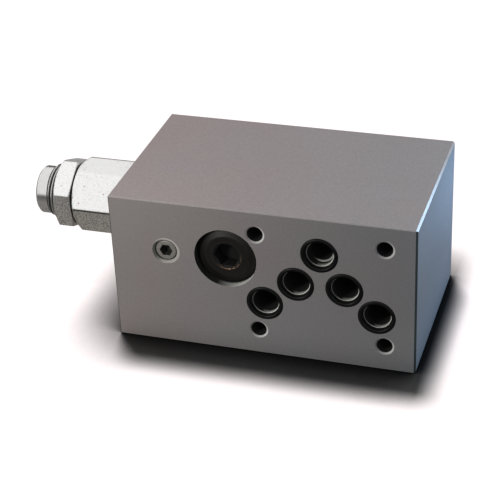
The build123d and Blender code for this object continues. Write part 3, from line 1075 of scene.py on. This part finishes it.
@dataclass
class Thread:
    """The cut thread of a round piece: a ridge that winds along its root."""

    crest_radius: float
    pitch: float
    start: float
    end: float
    crest_flat: float
    flank_angle: float = 30.0
    depth_per_pitch: float = 0.6134
    sunk: float = 0.06
    steps: int = 72
    run_out: float = 0.35
    least_height: float = 0.03

    @property
    def depth(self) -> float:
        """The height of the ridge over the root."""
        return self.pitch * self.depth_per_pitch

    @property
    def root_radius(self) -> float:
        """The radius at the root of the thread."""
        return self.crest_radius - self.depth

    def tree(self, axis: Point, material: Material) -> bpy.types.NodeTree:
        """Build the Geometry Nodes tree that winds the ridge round a turned body.

        Args:
            axis: A point on the axis of the body, in metres.
            material: The finish of the whole piece.

        Returns:
            The tree.
        """
        tree = bpy.data.node_groups.new("cut_thread", "GeometryNodeTree")
        for name, way in (("Body", "INPUT"), ("Piece", "OUTPUT")):
            tree.interface.new_socket(name, in_out=way, socket_type="NodeSocketGeometry")
        nodes = Nodes(tree)
        body = nodes.node("NodeGroupInput").outputs[0]

        crest = self.crest_flat / 2
        foot = crest + self.depth * tan(radians(self.flank_angle))
        top = -self.depth
        section = ((self.sunk, foot), (top, crest), (top, -crest), (self.sunk, -foot))
        corners = {f"Point {k}": (x * MM, y * MM, 0.0) for k, (x, y) in enumerate(section, 1)}
        profile = nodes.node("GeometryNodeCurvePrimitiveQuadrilateral", {"mode": "POINTS"}, corners)

        turns = (self.end - self.start) / self.pitch
        sizes = {
            "Resolution": self.steps,
            "Rotations": turns,
            "Start Radius": self.root_radius * MM,
            "End Radius": self.root_radius * MM,
            "Height": turns * self.pitch * MM,
        }
        winding = nodes.node("GeometryNodeCurveSpiral", None, sizes).outputs[0]
        upright = nodes.node("GeometryNodeSetCurveNormal", {"mode": "Z_UP"}, {0: winding})
        along = Signal(nodes, nodes.node("GeometryNodeSplineParameter").outputs["Factor"])
        fade = (along * turns & (1 - along) * turns) / self.run_out
        ridge = {
            "Curve": upright.outputs[0],
            "Profile Curve": profile.outputs[0],
            "Scale": (fade | self.least_height) & 1.0,
            "Fill Caps": True,
        }
        place = {
            "Geometry": nodes.node("GeometryNodeCurveToMesh", None, ridge).outputs[0],
            "Translation": (self.start * MM, axis[1], axis[2]),
            "Rotation": (0.0, pi / 2, 0.0),
        }
        whole = nodes.node("GeometryNodeJoinGeometry", None, {0: body})
        tree.links.new(nodes.node("GeometryNodeTransform", None, place).outputs[0], whole.inputs[0])
        real = nodes.node("GeometryNodeRealizeInstances", None, {0: whole.outputs[0]})
        coat = {"Geometry": real.outputs[0], "Material": material}
        coated = nodes.node("GeometryNodeSetMaterial", None, coat)
        nodes.node("NodeGroupOutput", None, {0: coated.outputs[0]})
        return tree


@dataclass
class ThreadedSpindle:
    """The adjusting spindle with its real thread, which stands for the plain solid."""

    band_length: float = 5.5
    band_chamfer: float = 1.0
    band_step: float = 1.35
    thread_pitch: float = 1.5
    crest_flat: float = 0.19
    socket_af: float = 8.0
    socket_depth: float = 8.0
    socket_chamfer: float = 0.4
    socket_floor_drop: float = 1.6
    pilot_length: float = 13.2
    pilot_radius: float = 8.95
    groove_width: float = 2.4
    groove_land: float = 0.8
    groove_radius: float = 7.4
    edge_round: float = 0.12

    def rings(self, thread: Thread, start: float, end: float) -> list[Ring]:
        """The rings of the turned body, from the floor of the key socket round to the inner end.

        Args:
            thread: The thread that winds round it.
            start: The place of the outer end along the axis.
            end: The place of the inner end along the axis.

        Returns:
            The rings, between the middle of the socket floor and the middle of the inner end.
        """
        mouth_radius = self.socket_af / sqrt(3) + self.socket_chamfer
        band_radius = thread.crest_radius - self.band_step
        root = thread.root_radius
        inner = end - self.pilot_length
        groove_end = end - self.groove_land
        groove_start = groove_end - self.groove_width

        def socket_wall(angle: float) -> float:
            """The distance from the axis to the socket's wall in one direction."""
            return hexagon(self.socket_af / 2, angle + pi / 6)

        def floor_ring(angle: float) -> Span:
            """The foot of the socket's wall."""
            return start + self.socket_depth, socket_wall(angle)

        def mouth_ring(angle: float) -> Span:
            """Where the chamfer of the socket's mouth meets its wall."""
            return start + mouth_radius - socket_wall(angle), socket_wall(angle)

        turned = (
            (start, mouth_radius),
            (start, band_radius - self.band_chamfer),
            (start + self.band_chamfer, band_radius),
            (start + self.band_length, band_radius),
            (start + self.band_length + root - band_radius, root),
            (inner - root + band_radius, root),
            (inner, band_radius),
            (inner, self.pilot_radius),
            (groove_start, self.pilot_radius),
            (groove_start, self.groove_radius),
            (groove_end, self.groove_radius),
            (groove_end, self.pilot_radius),
            (end, self.pilot_radius),
        )
        return [floor_ring, mouth_ring, *(plain_ring(*place) for place in turned)]

    def build(self, material: Material) -> None:
        """Build the spindle where the plain solid stands.

        Args:
            material: Its finish.
        """
        low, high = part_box("adjusting_spindle")
        start, end = low.x / MM, high.x / MM
        thread = Thread(
            crest_radius=(high.z - low.z) / 2 / MM,
            pitch=self.thread_pitch,
            start=start + self.band_length + self.thread_pitch / 2,
            end=end - self.pilot_length - self.thread_pitch / 2,
            crest_flat=self.crest_flat,
        )
        axis = centre_of("adjusting_spindle")
        poles = (start + self.socket_depth + self.socket_floor_drop, end)
        rings = self.rings(thread, start, end)
        spindle = turned_body("threaded_spindle", rings, axis, material, poles)
        round_edges(spindle, self.edge_round)
        spindle.modifiers.new("thread", "NODES").node_group = thread.tree(axis, material)
        settle(spindle, material)
        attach(spindle, "spindle")
        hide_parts("adjusting_spindle")


@dataclass
class Locknut:
    """The locknut, chamfered at its outer end alone, with a counterbore over its seal."""

    face_inset: float = 0.5
    chamfer_angle: float = 30.0
    bore_chamfer: float = 0.5
    seal_clearance: float = 0.1
    gap: float = 0.6
    edge_round: float = 0.12

    def build(self, material: Material) -> None:
        """Build the nut where the plain solid stands, but closer to the hexagon beside it.

        Args:
            material: Its finish.
        """
        axis = centre_of("adjusting_spindle")
        spokes = [
            (hypot(y - axis[1], z - axis[2]) / MM, atan2(z - axis[2], y - axis[1]))
            for _, y, z in (vertex.co for vertex in frame["nodes"]["locknut"].data.vertices)
        ]
        corner, turn = max(spokes)
        bore = min(spokes)[0]
        apothem = corner * cos(pi / 6)
        face = apothem - self.face_inset
        start, seat = (place.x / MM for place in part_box("locknut"))
        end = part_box("cartridge_body")[0].x / MM - self.gap
        seal_low, seal_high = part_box("locknut_seal")
        counterbore = (seal_high.y - seal_low.y) / 2 / MM + self.seal_clearance

        def chamfered(angle: float) -> Span:
            """Where the outer chamfer meets the nut's flats."""
            radius = hexagon(apothem, angle)
            return start + (radius - face) * tan(radians(self.chamfer_angle)), radius

        rings = [
            plain_ring(start + self.bore_chamfer, bore),
            plain_ring(start, bore + self.bore_chamfer),
            plain_ring(start, face),
            chamfered,
            lambda angle: (end, hexagon(apothem, angle)),
            plain_ring(end, counterbore),
            plain_ring(seat, counterbore),
            plain_ring(seat, bore),
        ]
        nut = turned_body("chamfered_locknut", rings, axis, material, turn=turn)
        round_edges(nut, self.edge_round)
        settle(nut, material)
        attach(nut, "locknut")
        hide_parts("locknut")


@dataclass
class ReliefSpring:
    """The relief spring in two halves, which the spring seat and the poppet squeeze."""

    half_gap: float = 0.01

    def build(self, material: Material) -> None:
        """Build both halves where the plain solid stands.

        Args:
            material: Their finish.
        """
        low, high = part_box("relief_spring")
        middle = (low + high) / 2
        for side, place, body in (("outer", low.x, "spring_seat"), ("inner", high.x, "poppet")):
            end = Vector((place, middle.y, middle.z))
            half = new_piece(f"relief_spring_{side}", self.half(middle, end), material)
            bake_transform(half)
            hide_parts("relief_spring")

    def half(self, middle: Vector, end: Vector) -> bmesh.types.BMesh:
        """Cut a copy of the packed spring across its middle and close the cut.

        Args:
            middle: The middle of the spring.
            end: The middle of the end that the half keeps.

        Returns:
            The mesh of the half.
        """
        away = (end - middle).normalized()
        made = welded_copy("relief_spring")
        cut = bmesh.ops.bisect_plane(
            made,
            geom=[*made.verts, *made.edges, *made.faces],
            plane_co=middle + away * self.half_gap * MM,
            plane_no=-away,
            clear_outer=True,
        )
        edges = [item for item in cut["geom_cut"] if isinstance(item, bmesh.types.BMEdge)]
        bmesh.ops.triangle_fill(made, use_beauty=True, edges=edges)
        bmesh.ops.recalc_face_normals(made, faces=made.faces)
        return made


@dataclass
class ReliefCartridge:
    """The screw-in cartridge: its hexagon, locknut, spindle and what works inside."""

    spindle: ThreadedSpindle
    locknut: Locknut
    spring: ReliefSpring
    bright_colour: Colour = (0.74, 0.735, 0.72)
    bright_roughness: float = 0.24
    machined_colour: Colour = (0.56, 0.555, 0.54)
    machined_roughness: float = 0.34
    ground_colour: Colour = (0.50, 0.50, 0.52)
    ground_roughness: float = 0.20
    ground_marks: float = 0.12
    ground_depth: float = 0.004
    root_shade_drops: Span = (0.75, 0.2)
    underside_shade: float = 0.6
    under_span: Span = (-0.1, -0.5)
    patch_size: float = 0.6
    patch_span: Span = (0.42, 0.6)
    top_line_radius: float = 1.0
    top_line_strength: float = 0.9
    low_line_radius: float = 0.85
    low_line_drop: float = 0.75

    def build(self) -> None:
        """Build the threaded spindle, the locknut and the spring, and dress the hexagon."""
        axis = centre_of("adjusting_spindle")
        low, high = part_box("adjusting_spindle")
        looks = (self.bright_colour, self.bright_roughness)
        bright = TurnedSteel("bright_turned_steel", *looks, Along.X, axis)

        def shade_and_oil(shader: Shader) -> Signal:
            """Find where old oil lies on the spindle.

            Args:
                shader: The material of the spindle.

            Returns:
                One in the grooves of the thread, and patches on the underside.
            """
            crest = (high.z - axis[2]) / MM
            drops = tuple(crest - drop for drop in self.root_shade_drops)
            # painted shade with an oily film in the grooves of the thread
            deep = 1 - shader.distance(Along.X, axis).across(drops)
            # painted shade on the underside, broken into patches
            down = shader.normal[2].between(*self.under_span) * self.underside_shade
            patches = shader.noise(self.patch_size).between(*self.patch_span)
            return deep * (shader.xyz[0] > low.x + self.spindle.band_length * MM) | down * patches

        self.spindle.build(bright.material(shade_and_oil))
        self.spring.build(SpringSteel().material())
        zinc = ZincPlate(self.reflection_lines()).material()
        self.locknut.build(zinc)
        dress(zinc, "cartridge_body")

    def reflection_lines(self) -> list[PaintedLine]:
        """Find where the hexagon's finish is dull.

        Returns:
            The lines along its upper rear corner and just under its front one.
        """
        points = [vertex.co for vertex in frame["nodes"]["cartridge_body"].data.vertices]
        top = max(points, key=Vector((0.0, sin(pi / 6), cos(pi / 6))).dot)
        front = min(points, key=lambda point: point.y)
        low = (front.x, front.y, front.z - self.low_line_drop * MM)
        return [
            PaintedLine(tuple(top), self.top_line_radius, self.top_line_strength),
            PaintedLine(low, self.low_line_radius, 1.0),
        ]

    def dress(self) -> None:
        """Give the pieces inside the cartridge their finishes."""
        axis = centre_of("cartridge_body")
        looks = (self.machined_colour, self.machined_roughness)
        machined = TurnedSteel("machined_steel", *looks, Along.X, axis)
        ground = replace(
            machined,
            name="hardened_steel",
            colour=self.ground_colour,
            roughness=self.ground_roughness,
            marks=self.ground_marks,
            depth=self.ground_depth,
        )
        dress(machined.material(), "cartridge_sleeve", "spring_seat")
        dress(ground.material(), "poppet_seat", "relief_poppet")


@dataclass
class Seals:
    """Every O-ring, flat seal and backup ring."""

    seal_end: str = "_seal"
    backup_end: str = "_backup_rings"

    def dress(self) -> None:
        """Give the rings their finishes."""
        finishes = ((self.seal_end, SealRubber()), (self.backup_end, BackupPlastic()))
        for end, finish in finishes:
            dress(finish.material(), *(name for name in frame["nodes"] if name.endswith(end)))


def point_at(item: Piece, place: Point, aim: Point, roll: float = 0.0) -> None:
    """Put a lamp or the camera somewhere and turn it to a point.

    Args:
        item: The lamp or camera, which looks along its own negative Z.
        place: Where it stands.
        aim: The point that it looks at.
        roll: How far it leans about its line of sight.
    """
    location = Vector(place) * MM
    turn = (Vector(aim) * MM - location).to_track_quat("-Z", "Y").to_matrix()
    turn = turn @ Matrix.Rotation(radians(roll), 3, "Z")
    item.matrix_world = Matrix.Translation(location) @ turn.to_4x4()


@dataclass(frozen=True)
class Lamp:
    """A soft lamp that shines on some pieces of the object alone."""

    name: str
    place: Point
    aim: Point
    watts: float
    width: float
    height: float
    colour: Colour = WHITE

    def build(self, lit: bpy.types.Collection) -> None:
        """Hang the lamp.

        Args:
            lit: The pieces that it shines on.
        """
        data = bpy.data.lights.new(self.name, "AREA")
        data.energy = self.watts
        data.shape = "RECTANGLE"
        data.size = self.width * MM
        data.size_y = self.height * MM
        data.color = self.colour
        lamp = placed(self.name, data)
        lamp.visible_camera = False
        point_at(lamp, self.place, self.aim)
        lamp.light_linking.receiver_collection = lit


LAMPS = (
    Lamp("front_lamp", (-140.0, -150.0, 90.0), (-20.0, 0.0, -10.0), 0.26, 40.0, 40.0, (1.0, 1.0, 0.94)),
    Lamp("front_low_lamp", (-20.0, -20.0, -28.0), (-20.0, 0.0, -28.0), 0.0038, 180.0, 6.0),
    Lamp("side_lamp", (74.0, 40.0, 38.0), (40.0, 40.0, -10.0), 0.035, 120.0, 12.0, (0.42, 0.68, 1.0)),
    Lamp("side_low_lamp", (60.0, 38.0, -28.0), (40.0, 38.0, -28.0), 0.0042, 90.0, 6.0, (0.22, 0.57, 1.0)),
    Lamp("side_back_lamp", (64.0, 84.0, 8.0), (40.0, 68.0, 2.0), 0.0145, 16.0, 50.0, (0.42, 0.66, 1.0)),
)


def seen_rays(nodes: Nodes) -> Signal:
    """Tell the light that is seen from the light that bounces.

    Args:
        nodes: The tree of a material or of the world.

    Returns:
        One for what is seen straight, mirrored or through glass, and nought for bounced light.
    """
    rays = nodes.node("ShaderNodeLightPath").outputs
    kinds = ("Is Camera Ray", "Is Glossy Ray", "Is Transmission Ray")
    return reduce(or_, [Signal(nodes, rays[kind]) for kind in kinds])


@dataclass
class Studio:
    """A white floor with a soft light overhead, and weak lamps on the block alone."""

    floor_radius: float = 2500.0
    floor_colour: Colour = (0.55, 0.55, 0.55)
    floor_seen: Colour = (0.97, 0.97, 0.97)
    floor_roughness: float = 0.9
    contact_reach: float = 30.0
    contact_power: float = 5.0
    fade_span: Span = (2.0, 12.0)
    sky: float = 0.08
    key_strength: float = 3.6
    key_colour: Colour = (1.0, 0.930, 0.930)
    key_angle: float = 11.0
    key_from_left: float = 7.5
    key_from_behind: float = 15.5
    key_distance: float = 1000.0
    card_radius: float = 900.0
    card_gap: float = 0.2
    card_near: Colour = (0.19, 0.19, 0.18)
    card_far: Colour = (0.02, 0.02, 0.022)
    card_middle: float = 40.0
    card_span: Span = (50.0, 120.0)
    back_card: Point = (700.0, 700.0, 170.0)
    disc_corners: int = 64
    lit_pieces: tuple[str, ...] = ("valve_block", "gallery_plug", "turned_gauge_plug")
    port_seal_end: str = "_port_seal"

    def build(self) -> None:
        """Set up the floor, the world and the lamps."""
        lit = bpy.data.collections.new("block_and_face")
        for piece in bpy.data.objects:
            if piece.name in self.lit_pieces or piece.name.endswith(self.port_seal_end):
                lit.objects.link(piece)
        ground = CAD_BOX[0].z / MM
        white_disc = self.disc(self.floor_radius, ground)
        dark_disc = self.disc(self.card_radius, ground + self.card_gap)
        x, y, top = self.back_card
        strip = [(-x, y, ground), (x, y, ground), (x, y, top), (-x, y, top)]
        floor = self.sheet("studio_floor", white_disc, self.floor_material())
        dark_reflection = self.card_material()
        cards = [self.sheet("dark_card", dark_disc, dark_reflection), self.sheet("back_card", strip, dark_reflection)]
        for item in cards:
            self.show_in_metal_alone(item)
        self.light_world()
        matte = bpy.data.collections.new("all_but_the_cartridge")
        matte.children.link(lit)
        for item in (floor, *cards):
            matte.objects.link(item)
        self.hang_key(lit, matte)
        for lamp in LAMPS:
            lamp.build(lit)
        LOG.info("set up the studio with %d lamps", len(LAMPS) + 1)

    def disc(self, radius: float, height: float) -> list[Point]:
        """The outline of a flat disc of a radius, at a height."""
        angles = [tau * k / self.disc_corners for k in range(self.disc_corners)]
        return [(-radius * sin(angle), radius * cos(angle), height) for angle in angles]

    @staticmethod
    def sheet(name: str, outline: Sequence[Point], material: Material) -> Piece:
        """Make a flat sheet that isn't part of the object.

        Args:
            name: The name of the sheet.
            outline: Its corners.
            material: Its finish.

        Returns:
            The sheet.
        """
        mesh = bpy.data.meshes.new(name)
        mesh.from_pydata([Vector(corner) * MM for corner in outline], [], [range(len(outline))])
        mesh.materials.append(material)
        sheet = placed(name, mesh)
        return sheet

    @staticmethod
    def show_in_metal_alone(card: Piece) -> None:
        """Hide a card from everything but mirrored rays."""
        card.visible_camera = card.visible_diffuse = False
        card.visible_shadow = card.visible_transmission = False

    def floor_material(self) -> Material:
        """Make a floor that looks white, bounces less light, and darkens close to the object.

        Returns:
            The material of the floor.
        """
        shader = Shader("studio_floor")
        # painted contact shadow: occlusion darkens the floor near the object, faded out right of the
        # block
        reach = {"Distance": self.contact_reach * MM}
        near = shader.node("ShaderNodeAmbientOcclusion", None, reach)
        contact = Signal(shader, near.outputs["AO"]) ** self.contact_power
        beside = (shader.xyz[0] - CAD_BOX[1].x).across(self.fade_span)
        contact = contact + (1 - contact) * beside
        white = shader.shade(self.floor_seen, contact)
        colour = shader.mix(seen_rays(shader), self.floor_colour, white)
        return shader.finish(colour, self.floor_roughness, specular=0.0)

    def card_material(self) -> Material:
        """Make a dull card that gets darker front and back, for bright metal to mirror.

        Returns:
            The material of both cards.
        """
        shader = Shader("dark_card")
        away = (shader.xyz[1] - self.card_middle * MM).absolute()
        colour = shader.mix(away.across(self.card_span), self.card_near, self.card_far)
        return shader.finish(colour, self.floor_roughness)

    def light_world(self) -> None:
        """White all round for what is seen or mirrored, and a weak grey light from everywhere."""
        world = bpy.data.worlds.new("studio")
        bpy.context.scene.world = world
        world.use_nodes = True
        nodes = Nodes(world.node_tree)
        strength = seen_rays(nodes) * (1 - self.sky) + self.sky
        back = nodes.node("ShaderNodeBackground", None, {"Color": WHITE, "Strength": strength})
        nodes.node("ShaderNodeOutputWorld", None, {"Surface": back.outputs[0]})

    def hang_key(self, casters: bpy.types.Collection, lit: bpy.types.Collection) -> None:
        """Hang the main light, nearly overhead and a little behind and to the left.

        Args:
            casters: The pieces that cast its shadow. The photo shows no shadow of the cartridge.
            lit: The pieces that it shines on, which are all but the bright cartridge.
        """
        data = bpy.data.lights.new("key_light", "SUN")
        data.energy = self.key_strength
        data.color = self.key_colour
        data.angle = radians(self.key_angle)
        key = placed("key_light", data)
        slant = (-tan(radians(self.key_from_left)), tan(radians(self.key_from_behind)), 1.0)
        point_at(key, tuple(self.key_distance * s for s in slant), (0.0, 0.0, 0.0))
        key.light_linking.blocker_collection = casters
        key.light_linking.receiver_collection = lit


@dataclass(frozen=True)
class PhotoCamera:
    """The camera that stands where the photograph was taken from."""

    place: Point = (138.4, -504.4, 331.7)
    aim: Point = (-32.3, 9.4, 9.6)
    roll: float = -2.73
    lens: float = 109.0

    def build(self) -> None:
        """Set up the camera and make it the scene's own."""
        data = bpy.data.cameras.new("photo_camera")
        data.lens = self.lens
        camera = placed("photo_camera", data)
        point_at(camera, self.place, self.aim, self.roll)
        bpy.context.scene.camera = camera


def main() -> None:
    """Build the pieces, dress them and light them."""
    logging.basicConfig(level=logging.INFO, format="%(message)s")
    bpy.context.scene.view_settings.view_transform = "Standard"
    PhotoCamera().build()
    block = ValveBlock()
    block.dress()
    block.build_gauge_plug()
    cartridge = ReliefCartridge(ThreadedSpindle(), Locknut(), ReliefSpring())
    cartridge.build()
    cartridge.dress()
    Seals().dress()
    Studio().build()


if __name__ == "__main__":
    main()
